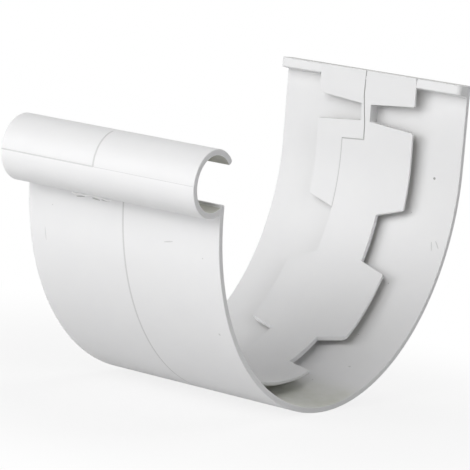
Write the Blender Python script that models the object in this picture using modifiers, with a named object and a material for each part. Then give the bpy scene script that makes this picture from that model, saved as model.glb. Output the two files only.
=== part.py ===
"""Gutter union: a short half-round sleeve, moulded in one piece, that joins two lengths of gutter.

Units are metres. X runs along the gutter, -Y is the front with the rolled bead, +Y is the
back that stands against the building, +Z is up.
The origin is the middle of the base of the bounding box, below the lowest line of the sleeve.
"""

import cmath
import math

import bmesh
import bpy
from mathutils import Matrix

# Driving dimensions

OUTER_RADIUS = 0.0640          # outside of the half-round wall
WALL = 0.00170                 # wall of the sleeve, the bead and the lip
LENGTH = 0.0650                # along the gutter
BACK_LEAN = 5.3                # degrees that the straight back leans inwards
BACK_HEIGHT = 0.0314           # top of the back above the centre of the half round
LIP_HEIGHT = -0.0026           # top of the front lip from the same centre

FLANGE_DEPTH = 0.0062          # top of the back, from outside to the face of the flange
FLANGE_NOSE = 0.0029           # height of the flange's face
FLANGE_ROOT = 0.0036           # height of the flange where it meets the wall

BEAD_FORWARD = 0.0043          # centre of the bead in front of the outside of the wall
BEAD_UP = 0.0030               # and above the centre of the half round
BEAD_RADIUS = 0.00935          # outside of the bead
BEAD_TIP_ANGLE = 40.0          # degrees above the level line to the back, where the curl ends

SLOT = 0.00255                 # gap that takes the gutter, between the wall and the strip
STRIP_WALL = 0.00155           # thickness of the inner strip
STRIP_LEAN = 7.2               # degrees that the strip leans inwards beside the back
STRIP_HALF = 0.01720           # half width of the strip over its tabs
STRIP_END_ANGLE = -176.0       # where the strip ends under the front lip
WEB_HALF = 0.00140             # half thickness of the web that carries the strip

NECK_HALF = 0.00820            # half width of the strip between two tabs
TOP_NECK_HALF = 0.00170        # the same between the two top tabs
TOP_NOTCH_AT = 0.01860         # middle of the top notch, along the strip from the level of the centre
TOP_NOTCH_INNER = 0.00265      # half length of the top notch at its neck
TOP_NOTCH_OUTER = 0.00410      # half length of the top notch at the edge of the strip
NOTCH_FIRST_AT = -0.01965      # middle of the first of the wide notches, along the strip
NOTCH_PITCH = -0.04545         # from each wide notch to the next
NOTCH_INNER = 0.00755          # half length of a wide notch at its neck
NOTCH_OUTER = 0.01050          # half length of a wide notch at the edge of the strip
TAB_CORNER = 0.00090           # rounding of the free corners of the tabs

EDGE_RADIUS = 0.00040          # rounding of the long edges of the flange
LIP_ROUNDING = 0.00068         # rounding of the front lip's two edges
TIP_OUTER_ROUNDING = 0.00075   # rounding of the bead's tip, outside
TIP_INNER_ROUNDING = 0.00034   # and inside
END_BEVEL = 0.00020            # rounding of the edges around the two ends

SHELL_STEP = 3.0               # degrees for each flat along the half round
BEAD_STEP = 8.0                # degrees for each flat along the bead
CORNER_STEPS = 3               # flats on each rounded edge of the section
END_STEPS = 2                  # flats on each rounded edge around the ends
CORNER_SHARE = 0.45            # most of a straight edge that one rounding may take
ROUNDING_RUN = 0.0019          # length of wall beside a rounded end that is set aside for its rounding
NOTCH_RUN_OUT = 0.0040         # how far the cutter of a notch reaches past the edge of the strip
FLAT_ANGLE = 0.5               # degrees; neighbouring faces closer than this are one flat
SHARP_ANGLE = 70.0             # degrees; edges of the sleeve sharper than this are rounded
WELD_DISTANCE = 1e-6           # points closer than this are one point
WHOLE_FLAT = 1e-9              # share of a flat that doesn't count as one more flat

# Derived dimensions

INNER_RADIUS = OUTER_RADIUS - WALL
STRIP_OUTER = INNER_RADIUS - SLOT
STRIP_INNER = STRIP_OUTER - STRIP_WALL
BEAD_INNER = BEAD_RADIUS - WALL
BEAD_CENTRE = (-OUTER_RADIUS - BEAD_FORWARD, BEAD_UP)
CENTRE_Y = (BEAD_FORWARD + BEAD_RADIUS) / 2.0
CENTRE_Z = OUTER_RADIUS

PART_COLLECTION = "gutter_union"
CUTTER_COLLECTION = "cutters"


# Scene and material helpers

def clear_scene():
    """Take every object out of the file."""
    for item in list(bpy.data.objects):
        bpy.data.objects.remove(item, do_unlink=True)


def new_collection(name):
    """Return an empty collection linked to the scene."""
    group = bpy.data.collections.new(name)
    bpy.context.scene.collection.children.link(group)
    return group


def white_upvc():
    """Plain white moulded PVC."""
    material = bpy.data.materials.new("white_upvc")
    material.use_nodes = True
    shader = material.node_tree.nodes["Principled BSDF"]
    shader.inputs["Base Color"].default_value = (0.83, 0.84, 0.83, 1.0)
    shader.inputs["Roughness"].default_value = 0.35
    return material


# Two-dimensional outlines, as (y, z) about the centre of the half round

def arc(centre, radius, start, end, step):
    """Points along an arc, both ends included; angles in degrees."""
    count = max(1, math.ceil(abs(end - start) / step - WHOLE_FLAT))
    points = []
    for index in range(count + 1):
        angle = math.radians(start + (end - start) * index / count)
        points.append((centre[0] + radius * math.cos(angle), centre[1] + radius * math.sin(angle)))
    return points


def rounded(before, corner, after, radius):
    """Points of a rounding that replaces a corner between two straight edges."""
    corner = complex(*corner)
    first, second = complex(*before) - corner, complex(*after) - corner
    half_angle = abs(cmath.phase(second / first)) / 2.0
    reach = min(radius / math.tan(half_angle), CORNER_SHARE * abs(first), CORNER_SHARE * abs(second))
    first, second = first / abs(first), second / abs(second)
    inwards = (first + second) / abs(first + second)
    centre = corner + inwards * reach / math.cos(half_angle)
    start, end = corner + first * reach - centre, corner + second * reach - centre
    points = []
    for index in range(CORNER_STEPS + 1):
        turn = cmath.phase(end / start) * index / CORNER_STEPS
        point = centre + start * cmath.rect(1.0, turn)
        points.append((point.real, point.imag))
    return points


def leaning_top(radius, lean, height):
    """Top point of a straight side that leaves an arc tangentially and leans inwards."""
    slope = math.radians(lean)
    rise = (height - radius * math.sin(slope)) / math.cos(slope)
    return (radius * math.cos(slope) - rise * math.sin(slope), height)


def bead_join_angle(radius):
    """Angle about the bead's centre at which a circle of this radius meets the outside of the wall."""
    gap = math.hypot(BEAD_CENTRE[0], BEAD_CENTRE[1])
    cosine = (radius ** 2 + gap ** 2 - OUTER_RADIUS ** 2) / (2.0 * radius * gap)
    towards = math.degrees(math.atan2(-BEAD_CENTRE[1], -BEAD_CENTRE[0]))
    return towards - math.degrees(math.acos(cosine))


def wall_angle(point):
    """Angle of a point about the centre of the half round, between -270 and 90 degrees."""
    angle = math.degrees(math.atan2(point[1], point[0]))
    return angle - 360.0 if angle > 90.0 else angle


def on_arc(centre, radius, angle):
    """One point of a circle; the angle in degrees."""
    turn = math.radians(angle)
    return (centre[0] + radius * math.cos(turn), centre[1] + radius * math.sin(turn))


def flange_points():
    """Corners of the flange: top of the back, both corners of its face, and its root at the wall."""
    back_top = leaning_top(OUTER_RADIUS, BACK_LEAN, BACK_HEIGHT)
    face = back_top[0] - FLANGE_DEPTH
    nose_top = (face, BACK_HEIGHT)
    nose = (face, BACK_HEIGHT - FLANGE_NOSE)
    root = leaning_top(INNER_RADIUS, BACK_LEAN, BACK_HEIGHT - FLANGE_ROOT)
    return back_top, nose_top, nose, root


def section_outline():
    """Closed outline of the sleeve: flange, back, half round, bead, lip and back up the inside."""
    middle = (0.0, 0.0)
    back_top, nose_top, nose, root = flange_points()

    outer_join = bead_join_angle(BEAD_RADIUS)
    inner_join = bead_join_angle(BEAD_INNER)
    outer_point = on_arc(BEAD_CENTRE, BEAD_RADIUS, outer_join)
    inner_point = on_arc(BEAD_CENTRE, BEAD_INNER, inner_join)

    lip_out_angle = -180.0 - math.degrees(math.asin(LIP_HEIGHT / OUTER_RADIUS))
    lip_in_angle = -180.0 - math.degrees(math.asin(LIP_HEIGHT / INNER_RADIUS))
    lip_run = math.degrees(ROUNDING_RUN / INNER_RADIUS)
    lip_out = on_arc(middle, OUTER_RADIUS, lip_out_angle)
    lip_in = on_arc(middle, INNER_RADIUS, lip_in_angle)
    lip_foot = on_arc(middle, INNER_RADIUS, lip_in_angle + lip_run)

    curl_end = BEAD_TIP_ANGLE + math.degrees(ROUNDING_RUN / BEAD_RADIUS)
    tip_out = on_arc(BEAD_CENTRE, BEAD_RADIUS, BEAD_TIP_ANGLE)
    tip_in = on_arc(BEAD_CENTRE, BEAD_INNER, BEAD_TIP_ANGLE)
    tip_before = on_arc(BEAD_CENTRE, BEAD_RADIUS, curl_end)
    tip_after = on_arc(BEAD_CENTRE, BEAD_INNER, curl_end)

    points = rounded(nose_top, back_top, (OUTER_RADIUS, 0.0), EDGE_RADIUS)
    points += arc(middle, OUTER_RADIUS, BACK_LEAN, wall_angle(outer_point), SHELL_STEP)[:-1]
    points += arc(BEAD_CENTRE, BEAD_RADIUS, outer_join, curl_end - 360.0, BEAD_STEP)[:-1]
    points += rounded(tip_before, tip_out, tip_in, TIP_OUTER_ROUNDING)
    points += rounded(tip_out, tip_in, tip_after, TIP_INNER_ROUNDING)
    points += arc(BEAD_CENTRE, BEAD_INNER, curl_end - 360.0, inner_join, BEAD_STEP)
    points += rounded(inner_point, lip_out, lip_in, LIP_ROUNDING)
    points += rounded(lip_out, lip_in, lip_foot, LIP_ROUNDING)
    points += arc(middle, INNER_RADIUS, lip_in_angle + lip_run, BACK_LEAN, SHELL_STEP)
    points.append(root)
    points += rounded(root, nose, nose_top, EDGE_RADIUS)
    points += rounded(nose, nose_top, back_top, EDGE_RADIUS)
    return points


def band_outline(inner, inner_lean, outer, outer_lean, end_angle, height):
    """Closed outline of a band between two faces that follow the half round and then lean inwards."""
    middle = (0.0, 0.0)
    points = [leaning_top(outer, outer_lean, height)]
    points += arc(middle, outer, outer_lean, end_angle, SHELL_STEP)
    points += arc(middle, inner, end_angle, inner_lean, SHELL_STEP)
    points.append(leaning_top(inner, inner_lean, height))
    return points


def notch_count():
    """How many wide notches the strip has room for, from the back down and around to the front."""
    run = math.radians(-STRIP_END_ANGLE) * STRIP_INNER
    room = run + NOTCH_FIRST_AT - NOTCH_OUTER
    return 1 + math.floor(room / -NOTCH_PITCH)


def along_strip(distance):
    """Point on the strip's inner face and its slope, at a distance upwards from the centre's level."""
    bend = math.radians(STRIP_LEAN) * STRIP_INNER
    angle = min(distance, bend) / STRIP_INNER
    extra = max(0.0, distance - bend)
    y = STRIP_INNER * math.cos(angle) - extra * math.sin(angle)
    z = STRIP_INNER * math.sin(angle) + extra * math.cos(angle)
    return y, z, angle


# Solids

def solid_from_outline(name, points, half_depth, group):
    """Extrude a closed outline both ways and return it as a closed mesh object."""
    curve = bpy.data.curves.new(name + "_outline", "CURVE")
    curve.dimensions = "2D"
    curve.fill_mode = "BOTH"
    curve.extrude = half_depth
    spline = curve.splines.new("POLY")
    spline.points.add(len(points) - 1)
    for target, (u, v) in zip(spline.points, points):
        target.co = (u, v, 0.0, 1.0)
    spline.use_cyclic_u = True
    drawn = bpy.data.objects.new(name + "_outline", curve)
    bpy.context.scene.collection.objects.link(drawn)
    graph = bpy.context.evaluated_depsgraph_get()
    mesh = bpy.data.meshes.new_from_object(drawn.evaluated_get(graph))
    bpy.data.objects.remove(drawn, do_unlink=True)
    bpy.data.curves.remove(curve)
    work = bmesh.new()
    work.from_mesh(mesh)
    bmesh.ops.remove_doubles(work, verts=work.verts, dist=WELD_DISTANCE)
    bmesh.ops.recalc_face_normals(work, faces=work.faces)
    work.to_mesh(mesh)
    work.free()
    mesh.name = name
    result = bpy.data.objects.new(name, mesh)
    group.objects.link(result)
    return result


def stand_along_x(item):
    """Turn a solid so that its outline lies across the gutter and its depth runs along X."""
    turn = Matrix(((0.0, 0.0, 1.0, 0.0), (1.0, 0.0, 0.0, 0.0), (0.0, 1.0, 0.0, 0.0), (0.0, 0.0, 0.0, 1.0)))
    place = Matrix.Translation((0.0, CENTRE_Y, CENTRE_Z))
    item.data.transform(place @ turn)


def apply_modifiers(item):
    """Replace the object's mesh by the result of its modifiers."""
    graph = bpy.context.evaluated_depsgraph_get()
    mesh = bpy.data.meshes.new_from_object(item.evaluated_get(graph))
    item.modifiers.clear()
    old = item.data
    item.data = mesh
    bpy.data.meshes.remove(old)


def boolean(item, other, operation):
    """Join or cut with another solid, then leave that solid out of the part."""
    modifier = item.modifiers.new(operation.lower(), "BOOLEAN")
    modifier.operation = operation
    modifier.solver = "EXACT"
    modifier.object = other
    apply_modifiers(item)


def hide_cutter(item):
    """Keep a construction solid out of the picture."""
    item.hide_render = True
    item.display_type = "WIRE"


def make_sleeve(group):
    """Half-round sleeve with its flange, bead and lip, its end edges slightly rounded."""
    sleeve = solid_from_outline("gutter_union", section_outline(), LENGTH / 2.0, group)
    stand_along_x(sleeve)
    work = bmesh.new()
    work.from_mesh(sleeve.data)
    bmesh.ops.dissolve_limit(work, angle_limit=math.radians(FLAT_ANGLE), verts=work.verts, edges=work.edges)
    work.to_mesh(sleeve.data)
    work.free()
    bevel = sleeve.modifiers.new("end_edges", "BEVEL")
    bevel.width = END_BEVEL
    bevel.segments = END_STEPS
    bevel.limit_method = "ANGLE"
    bevel.angle_limit = math.radians(SHARP_ANGLE)
    bevel.use_clamp_overlap = True
    apply_modifiers(sleeve)
    return sleeve


def notch_outline(neck, edge, inner, outer):
    """Notch in the plan of the strip: narrow at the neck, wide at the edge, its outer corners rounded."""
    beyond = edge + NOTCH_RUN_OUT
    low_edge, high_edge = (edge, -outer), (edge, outer)
    low_neck, high_neck = (neck, -inner), (neck, inner)
    points = [high_neck, low_neck]
    points += rounded(low_neck, low_edge, (edge, -outer - NOTCH_RUN_OUT), TAB_CORNER)
    points += [(beyond, -outer - TAB_CORNER), (beyond, outer + TAB_CORNER)]
    points += rounded((edge, outer + NOTCH_RUN_OUT), high_edge, high_neck, TAB_CORNER)
    return points


def make_notch(name, distance, side, neck, inner, outer, group):
    """Cutter for one notch, set square to the strip at its place along the half round."""
    depth = STRIP_WALL + outer ** 2 / STRIP_INNER
    cutter = solid_from_outline(name, notch_outline(neck, STRIP_HALF, inner, outer), depth, group)
    y, z, angle = along_strip(distance)
    radial = (0.0, math.cos(angle), math.sin(angle))
    tangent = (0.0, -math.sin(angle), math.cos(angle))
    frame = Matrix((
        (side, tangent[0], radial[0], 0.0),
        (0.0, tangent[1], radial[1], CENTRE_Y + y),
        (0.0, tangent[2], radial[2], CENTRE_Z + z),
        (0.0, 0.0, 0.0, 1.0),
    ))
    cutter.data.transform(frame)
    work = bmesh.new()
    work.from_mesh(cutter.data)
    bmesh.ops.recalc_face_normals(work, faces=work.faces)
    work.to_mesh(cutter.data)
    work.free()
    hide_cutter(cutter)
    return cutter


def make_strip(cutter_group):
    """Inner strip with a row of tapered tabs on each side, cut by the notches between them."""
    outline = band_outline(STRIP_INNER, STRIP_LEAN, STRIP_OUTER, STRIP_LEAN, STRIP_END_ANGLE, BACK_HEIGHT)
    strip = solid_from_outline("tab_strip", outline, STRIP_HALF, cutter_group)
    stand_along_x(strip)
    hide_cutter(strip)
    for side in (1.0, -1.0):
        word = "near" if side > 0.0 else "far"
        notch = make_notch("top_notch_" + word, TOP_NOTCH_AT, side, TOP_NECK_HALF,
                           TOP_NOTCH_INNER, TOP_NOTCH_OUTER, cutter_group)
        boolean(strip, notch, "DIFFERENCE")
        for index in range(notch_count()):
            place = NOTCH_FIRST_AT + NOTCH_PITCH * index
            notch = make_notch("notch_%s_%d" % (word, index + 1), place, side, NECK_HALF,
                               NOTCH_INNER, NOTCH_OUTER, cutter_group)
            boolean(strip, notch, "DIFFERENCE")
    return strip


def make_web(cutter_group):
    """Web that carries the strip: it fills the middle of the slot, from the flange to the front."""
    outline = band_outline(STRIP_INNER + STRIP_WALL / 2.0, STRIP_LEAN, INNER_RADIUS + WALL / 2.0, BACK_LEAN,
                           STRIP_END_ANGLE, BACK_HEIGHT - FLANGE_NOSE / 2.0)
    web = solid_from_outline("web", outline, WEB_HALF, cutter_group)
    stand_along_x(web)
    hide_cutter(web)
    return web


def tidy_mesh(item):
    """Weld points that lie together, take out edges of no length and turn the faces outwards."""
    work = bmesh.new()
    work.from_mesh(item.data)
    bmesh.ops.remove_doubles(work, verts=work.verts, dist=WELD_DISTANCE)
    bmesh.ops.dissolve_degenerate(work, edges=work.edges, dist=WELD_DISTANCE)
    bmesh.ops.recalc_face_normals(work, faces=work.faces)
    work.to_mesh(item.data)
    work.free()


def build():
    """Build the union and print its size."""
    clear_scene()
    part_group = new_collection(PART_COLLECTION)
    cutter_group = new_collection(CUTTER_COLLECTION)
    sleeve = make_sleeve(part_group)
    strip = make_strip(cutter_group)
    web = make_web(cutter_group)
    boolean(sleeve, web, "UNION")
    boolean(sleeve, strip, "UNION")
    tidy_mesh(sleeve)
    sleeve.data.materials.clear()
    sleeve.data.materials.append(white_upvc())
    print("size", [round(value, 5) for value in sleeve.dimensions])
    print("faces", len(sleeve.data.polygons))


build()
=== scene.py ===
# %% [markdown]
# # A gutter union in white moulded PVC
#
# The real part is one injection moulding: a short half-round sleeve with a rolled front bead and a
# back flange, and inside it a strip of tabs that stands on a web. Two gutter lengths are pushed
# into the slot between the sleeve and the strip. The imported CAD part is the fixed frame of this
# lesson. It is loaded first, so that everything made later can be measured against it.

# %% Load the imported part
import bpy
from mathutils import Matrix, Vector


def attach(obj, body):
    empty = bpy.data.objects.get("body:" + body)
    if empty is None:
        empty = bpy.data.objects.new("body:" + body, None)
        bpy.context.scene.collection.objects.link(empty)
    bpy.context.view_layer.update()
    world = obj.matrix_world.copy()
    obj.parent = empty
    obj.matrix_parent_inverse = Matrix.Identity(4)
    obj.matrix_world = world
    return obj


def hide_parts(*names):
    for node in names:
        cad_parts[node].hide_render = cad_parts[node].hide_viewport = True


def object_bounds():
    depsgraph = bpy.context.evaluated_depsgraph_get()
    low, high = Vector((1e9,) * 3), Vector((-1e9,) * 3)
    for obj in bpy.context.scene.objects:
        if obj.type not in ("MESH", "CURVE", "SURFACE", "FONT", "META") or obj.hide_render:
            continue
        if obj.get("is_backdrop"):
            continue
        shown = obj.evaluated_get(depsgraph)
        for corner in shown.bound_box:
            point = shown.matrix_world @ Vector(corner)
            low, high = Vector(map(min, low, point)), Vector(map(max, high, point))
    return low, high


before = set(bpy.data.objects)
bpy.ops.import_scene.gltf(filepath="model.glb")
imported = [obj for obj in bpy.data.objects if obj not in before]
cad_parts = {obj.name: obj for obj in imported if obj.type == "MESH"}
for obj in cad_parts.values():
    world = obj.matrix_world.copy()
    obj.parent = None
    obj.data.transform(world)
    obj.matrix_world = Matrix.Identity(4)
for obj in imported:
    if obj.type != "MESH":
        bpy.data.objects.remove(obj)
cad_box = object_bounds()


def say_box(title, box):
    """Print a box in metres, to a hundredth of a millimetre."""
    print(title, [tuple(round(value, 5) for value in corner) for corner in box])


print("CAD nodes", sorted(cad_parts))
say_box("CAD box", cad_box)

# %% [markdown]
# ## The sizes of the moulding
#
# The CAD node has the right shape, but its flats are 3 degrees wide and its tabs have knife edges.
# A close view needs the small things that light picks out: rounded edges and the fine grooves where
# the parts of the mould met. They could be faked with bump alone, but then the outline would stay
# sharp, so the moulding is built again from the same sizes, finer, and stands for the CAD node.
# Sizes are millimetres and angles are degrees, about the centre of the half round. Blender works
# in metres, but exact Booleans are steadier on numbers around 1 than on thousandths, so the mesh is
# made in millimetres and scaled to metres in one step when it is finished.

# %% Sizes shared with the CAD part
import math

import bmesh
from mathutils import Matrix, Vector

TO_METRES = 0.001
OUTER_RADIUS = 64.0
WALL = 1.7
HALF_LENGTH = 32.5
BACK_LEAN = 5.3
BACK_HEIGHT = 31.4
LIP_HEIGHT = -2.6
FLANGE_DEPTH = 6.2
FLANGE_NOSE = 2.9
FLANGE_ROOT = 3.6
BEAD_CENTRE = (-68.3, 3.0)  # y and z from the centre of the half round
BEAD_RADIUS = 9.35
BEAD_TIP_ANGLE = 40.0
SLOT = 2.55
STRIP_WALL = 1.55
STRIP_LEAN = 7.2
STRIP_HALF = 17.2
STRIP_END_ANGLE = -176.0
WEB_HALF = 1.4

INNER_RADIUS = OUTER_RADIUS - WALL
BEAD_INNER = BEAD_RADIUS - WALL
STRIP_OUTER = INNER_RADIUS - SLOT
STRIP_INNER = STRIP_OUTER - STRIP_WALL
CENTRE = Vector((0.0, 6.825, 64.0))  # of the half round, in the frame of the part
MIDDLE = (0.0, 0.0)  # the same point, as y and z from itself


def polar(centre, radius, degrees):
    """A point of a circle, as (y, z) from the centre of the half round."""
    turn = math.radians(degrees)
    return centre[0] + radius * math.cos(turn), centre[1] + radius * math.sin(turn)


def leaning_point(radius, lean, height):
    """A point on the straight side that leaves a circle and leans inwards, at a height."""
    slope = math.radians(lean)
    rise = (height - radius * math.sin(slope)) / math.cos(slope)
    return radius * math.cos(slope) - rise * math.sin(slope), height


def place(x, y, z):
    """A point of the section in the frame of the part."""
    return CENTRE + Vector((x, y, z))


print("wall", WALL, "slot", SLOT, "strip from", round(STRIP_INNER, 2), "to", round(STRIP_OUTER, 2))

# %% [markdown]
# ## A pen that draws sections
#
# A moulding of one section is easiest to think of as a drawn outline that is pushed out along the
# gutter. The outline is drawn with two operators: extruding a point gives a straight stroke, and
# spinning a point about a centre gives an arc. A bevel on a single point rounds that corner.
# A curve object could do the same, but with a bmesh every stroke can be counted and rounded.

# %% Pen strokes
ALONG_X, ALONG_Y, ALONG_Z = (1.0, 0.0, 0.0), (0.0, 1.0, 0.0), (0.0, 0.0, 1.0)


def points_in(made):
    """The points among what an operator made."""
    return [item for item in made if isinstance(item, bmesh.types.BMVert)]


def pen_down(work, x, y, z):
    """Start an outline."""
    return bmesh.ops.create_vert(work, co=place(x, y, z))["vert"][0]


def pen_stroke(work, tip, point):
    """Draw a straight stroke from the pen's tip to a point and return its end."""
    end = bmesh.ops.extrude_vert_indiv(work, verts=[tip])["verts"][0]
    bmesh.ops.translate(work, verts=[end], vec=point - end.co)
    return end


def pen_line(work, tip, y, z):
    """Draw a straight stroke to a point of the section."""
    return pen_stroke(work, tip, place(tip.co.x - CENTRE.x, y, z))


def pen_arc(work, tip, centre, degrees, step):
    """Draw an arc about a centre, positive from the back upwards, and return its end."""
    count = max(1, round(abs(degrees) / step))
    drawn = bmesh.ops.spin(work, geom=[tip], cent=place(tip.co.x - CENTRE.x, *centre), axis=ALONG_X,
                           angle=math.radians(degrees), steps=count)
    return points_in(drawn["geom_last"])[0]


# %% Filling, rounding and pushing out


def fill_outline(work, first, last):
    """Close the outline from its last point to its first and fill it."""
    bmesh.ops.contextual_create(work, geom=[first, last])
    bmesh.ops.contextual_create(work, geom=work.edges[:])


def round_corner(work, corner, radius, segments=4):
    """Round one corner of a filled outline to a radius."""
    arms = [edge.other_vert(corner).co - corner.co for edge in corner.link_edges]
    reach = radius / math.tan(arms[0].angle(arms[1]) / 2.0)
    bmesh.ops.bevel(work, geom=[corner], offset=reach, segments=segments, profile=0.5, material=-1,
                    affect="VERTICES", clamp_overlap=True)


def push_out(work, way, faces=None):
    """Extrude faces, or all that is filled, along a vector."""
    made = bmesh.ops.extrude_face_region(work, geom=faces or work.faces[:])
    bmesh.ops.translate(work, verts=points_in(made["geom"]), vec=way)
    bmesh.ops.recalc_face_normals(work, faces=work.faces)


# %% From a drawing to an object


def say_mesh(title, work):
    """Print how many faces a bmesh has, and how many edges don't have exactly two."""
    open_edges = sum(1 for edge in work.edges if not edge.is_manifold)
    print(title, len(work.faces), "faces,", open_edges, "open edges")


def add_object(name, data):
    """A new object in the scene, at the origin."""
    item = bpy.data.objects.new(name, data)
    bpy.context.scene.collection.objects.link(item)
    return item


def keep_as_object(work, name, *materials):
    """Write a bmesh to a new object at the origin, with its materials, and say what it holds."""
    say_mesh(name, work)
    mesh = bpy.data.meshes.new(name)
    work.to_mesh(mesh)
    work.free()
    item = add_object(name, mesh)
    for material in materials:
        mesh.materials.append(material)
    return item


# %% [markdown]
# ## The sleeve
#
# The sleeve is the outer wall of the part. Its outline runs from the flange's nose over the top and
# down the back, around the half round to the front, over the rolled bead to its rounded tip, back
# inside the bead, over the lip, and up the inside of the wall. The tip and the lip are rounded off
# well, as they are where a gutter's bead snaps in. The crease under the bead gets a small fillet,
# because a mould can't have a perfectly sharp inside corner.

# %% Steps and roundings of the sleeve
SHELL_STEP = 1.5  # degrees for each flat along the half round
BEAD_STEP = 4.0  # and along the bead
EDGE_RADIUS = 0.4
LIP_ROUNDING = 0.68
TIP_ROUNDING = 0.75
TIP_INSIDE_ROUNDING = 0.34
CREASE_FILLET = 0.45
ROUNDING_RUN = 1.9  # straight stretch beside a rounded end, for its rounding
MERGE_DISTANCE = 0.004


def crossing_angle(radius):
    """Angle about the bead's centre where a circle meets the wall's outside, under the bead."""
    gap = math.hypot(*BEAD_CENTRE)
    cosine = (radius ** 2 + gap ** 2 - OUTER_RADIUS ** 2) / (2.0 * radius * gap)
    return math.degrees(math.atan2(-BEAD_CENTRE[1], -BEAD_CENTRE[0]) - math.acos(cosine))


def wall_angle(point):
    """Angle of a point of the front wall about the half round's centre, near -180."""
    return math.degrees(math.atan2(point[1], point[0])) - (360.0 if point[1] > 0.0 else 0.0)


print("bead meets wall at", round(crossing_angle(BEAD_RADIUS), 1), "degrees about its centre")

# %% Outline of the sleeve


def draw_sleeve(work):
    """Fill the outline of the sleeve."""
    outer_join, inner_join = crossing_angle(BEAD_RADIUS), crossing_angle(BEAD_INNER)
    crease = wall_angle(polar(BEAD_CENTRE, BEAD_RADIUS, outer_join))
    pocket = wall_angle(polar(BEAD_CENTRE, BEAD_INNER, inner_join))
    lip_out = -180.0 - math.degrees(math.asin(LIP_HEIGHT / OUTER_RADIUS))
    lip_in = -180.0 - math.degrees(math.asin(LIP_HEIGHT / INNER_RADIUS))
    lip_foot = lip_in + math.degrees(ROUNDING_RUN / INNER_RADIUS)
    curl_end = BEAD_TIP_ANGLE + math.degrees(ROUNDING_RUN / BEAD_RADIUS) - 360.0

    back_y = leaning_point(OUTER_RADIUS, BACK_LEAN, BACK_HEIGHT)[0]
    nose_y = back_y - FLANGE_DEPTH
    nose_top = pen_down(work, -HALF_LENGTH, nose_y, BACK_HEIGHT)
    back_top = pen_line(work, nose_top, back_y, BACK_HEIGHT)
    tip = pen_line(work, back_top, *polar(MIDDLE, OUTER_RADIUS, BACK_LEAN))
    under_bead = pen_arc(work, tip, MIDDLE, crease - BACK_LEAN, SHELL_STEP)
    tip = pen_arc(work, under_bead, BEAD_CENTRE, curl_end - outer_join, BEAD_STEP)
    curl_out = pen_line(work, tip, *polar(BEAD_CENTRE, BEAD_RADIUS, BEAD_TIP_ANGLE))
    curl_in = pen_line(work, curl_out, *polar(BEAD_CENTRE, BEAD_INNER, BEAD_TIP_ANGLE))
    tip = pen_line(work, curl_in, *polar(BEAD_CENTRE, BEAD_INNER, curl_end))
    in_pocket = pen_arc(work, tip, BEAD_CENTRE, inner_join - curl_end, BEAD_STEP)
    lip_outer = pen_arc(work, in_pocket, MIDDLE, lip_out - pocket, abs(lip_out - pocket))
    lip_inner = pen_line(work, lip_outer, *polar(MIDDLE, INNER_RADIUS, lip_in))
    tip = pen_line(work, lip_inner, *polar(MIDDLE, INNER_RADIUS, lip_foot))
    tip = pen_arc(work, tip, MIDDLE, BACK_LEAN - lip_foot, SHELL_STEP)
    root = pen_line(work, tip, *leaning_point(INNER_RADIUS, BACK_LEAN, BACK_HEIGHT - FLANGE_ROOT))
    nose = pen_line(work, root, nose_y, BACK_HEIGHT - FLANGE_NOSE)
    fill_outline(work, nose_top, nose)

    for corner, radius in ((nose_top, EDGE_RADIUS), (back_top, EDGE_RADIUS), (nose, EDGE_RADIUS),
                           (root, EDGE_RADIUS), (under_bead, CREASE_FILLET), (curl_out, TIP_ROUNDING),
                           (curl_in, TIP_INSIDE_ROUNDING), (in_pocket, CREASE_FILLET),
                           (lip_outer, LIP_ROUNDING), (lip_inner, LIP_ROUNDING)):
        round_corner(work, corner, radius)
    bmesh.ops.remove_doubles(work, verts=work.verts, dist=MERGE_DISTANCE)


# %% Push the sleeve out and round its ends
END_ROUNDING = 0.28
END_FACE = 0.99  # least x of the normal of an end face
RIM_ANGLE = 1.0  # radians; edges of the ends sharper than this are rounded


def round_ends(work, radius):
    """Round the edges that run around the two ends of an extrusion."""
    rim = [edge for edge in work.edges
           if len(edge.link_faces) == 2 and edge.calc_face_angle() > RIM_ANGLE
           and any(abs(face.normal.x) > END_FACE for face in edge.link_faces)]
    bmesh.ops.bevel(work, geom=rim, offset=radius, segments=3, profile=0.5, material=-1,
                    affect="EDGES", clamp_overlap=True)


sleeve_mesh = bmesh.new()
draw_sleeve(sleeve_mesh)
push_out(sleeve_mesh, (2.0 * HALF_LENGTH, 0.0, 0.0))
round_ends(sleeve_mesh, END_ROUNDING)
moulding = keep_as_object(sleeve_mesh, "gutter_union_moulding")

# %% [markdown]
# ## The strip of tabs, flat
#
# The strip is the part that takes skill: tabs that taper towards their free edge, on both sides of a
# narrower neck, and all of it curved like the wall. Cutting notches in a curved band is possible, but
# its edges are hard to round evenly. It is easier to do what a metal worker would do: make the strip
# flat, with its outline, rounded corners and edges, and bend it afterwards. On the flat strip, x is
# along the gutter, y is the distance along the strip, and z is the depth below the inner face.
# The photograph shows the free edges of the tabs thinner than the sides of the notches: they are
# thinned from behind, which leads the end of a gutter into the slot. That is a cut along the strip
# with the bisect operator, and the points outside it are lifted in proportion.

# %% Tabs and notches
NECK_HALF = 8.2
TOP_NECK_HALF = 1.7
TOP_NOTCH = (18.6, 2.65, 4.1)  # middle along the strip, half lengths at neck and edge
FIRST_WIDE_NOTCH = (-19.65, 7.55, 10.5)  # the same
NOTCH_PITCH = 45.45
NOTCH_COUNT = 4
TAB_CORNER = 0.5
TOP_SPARE = 0.6  # what is cut off again at the top, after the bending

WIDE_NOTCHES = [(FIRST_WIDE_NOTCH[0] - NOTCH_PITCH * index, *FIRST_WIDE_NOTCH[1:])
                for index in range(NOTCH_COUNT)]


def distance_at_height(height):
    """How far along the strip's inner face its leaning part reaches a height."""
    slope = math.radians(STRIP_LEAN)
    return STRIP_INNER * slope + (height - STRIP_INNER * math.sin(slope)) / math.cos(slope)


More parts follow.
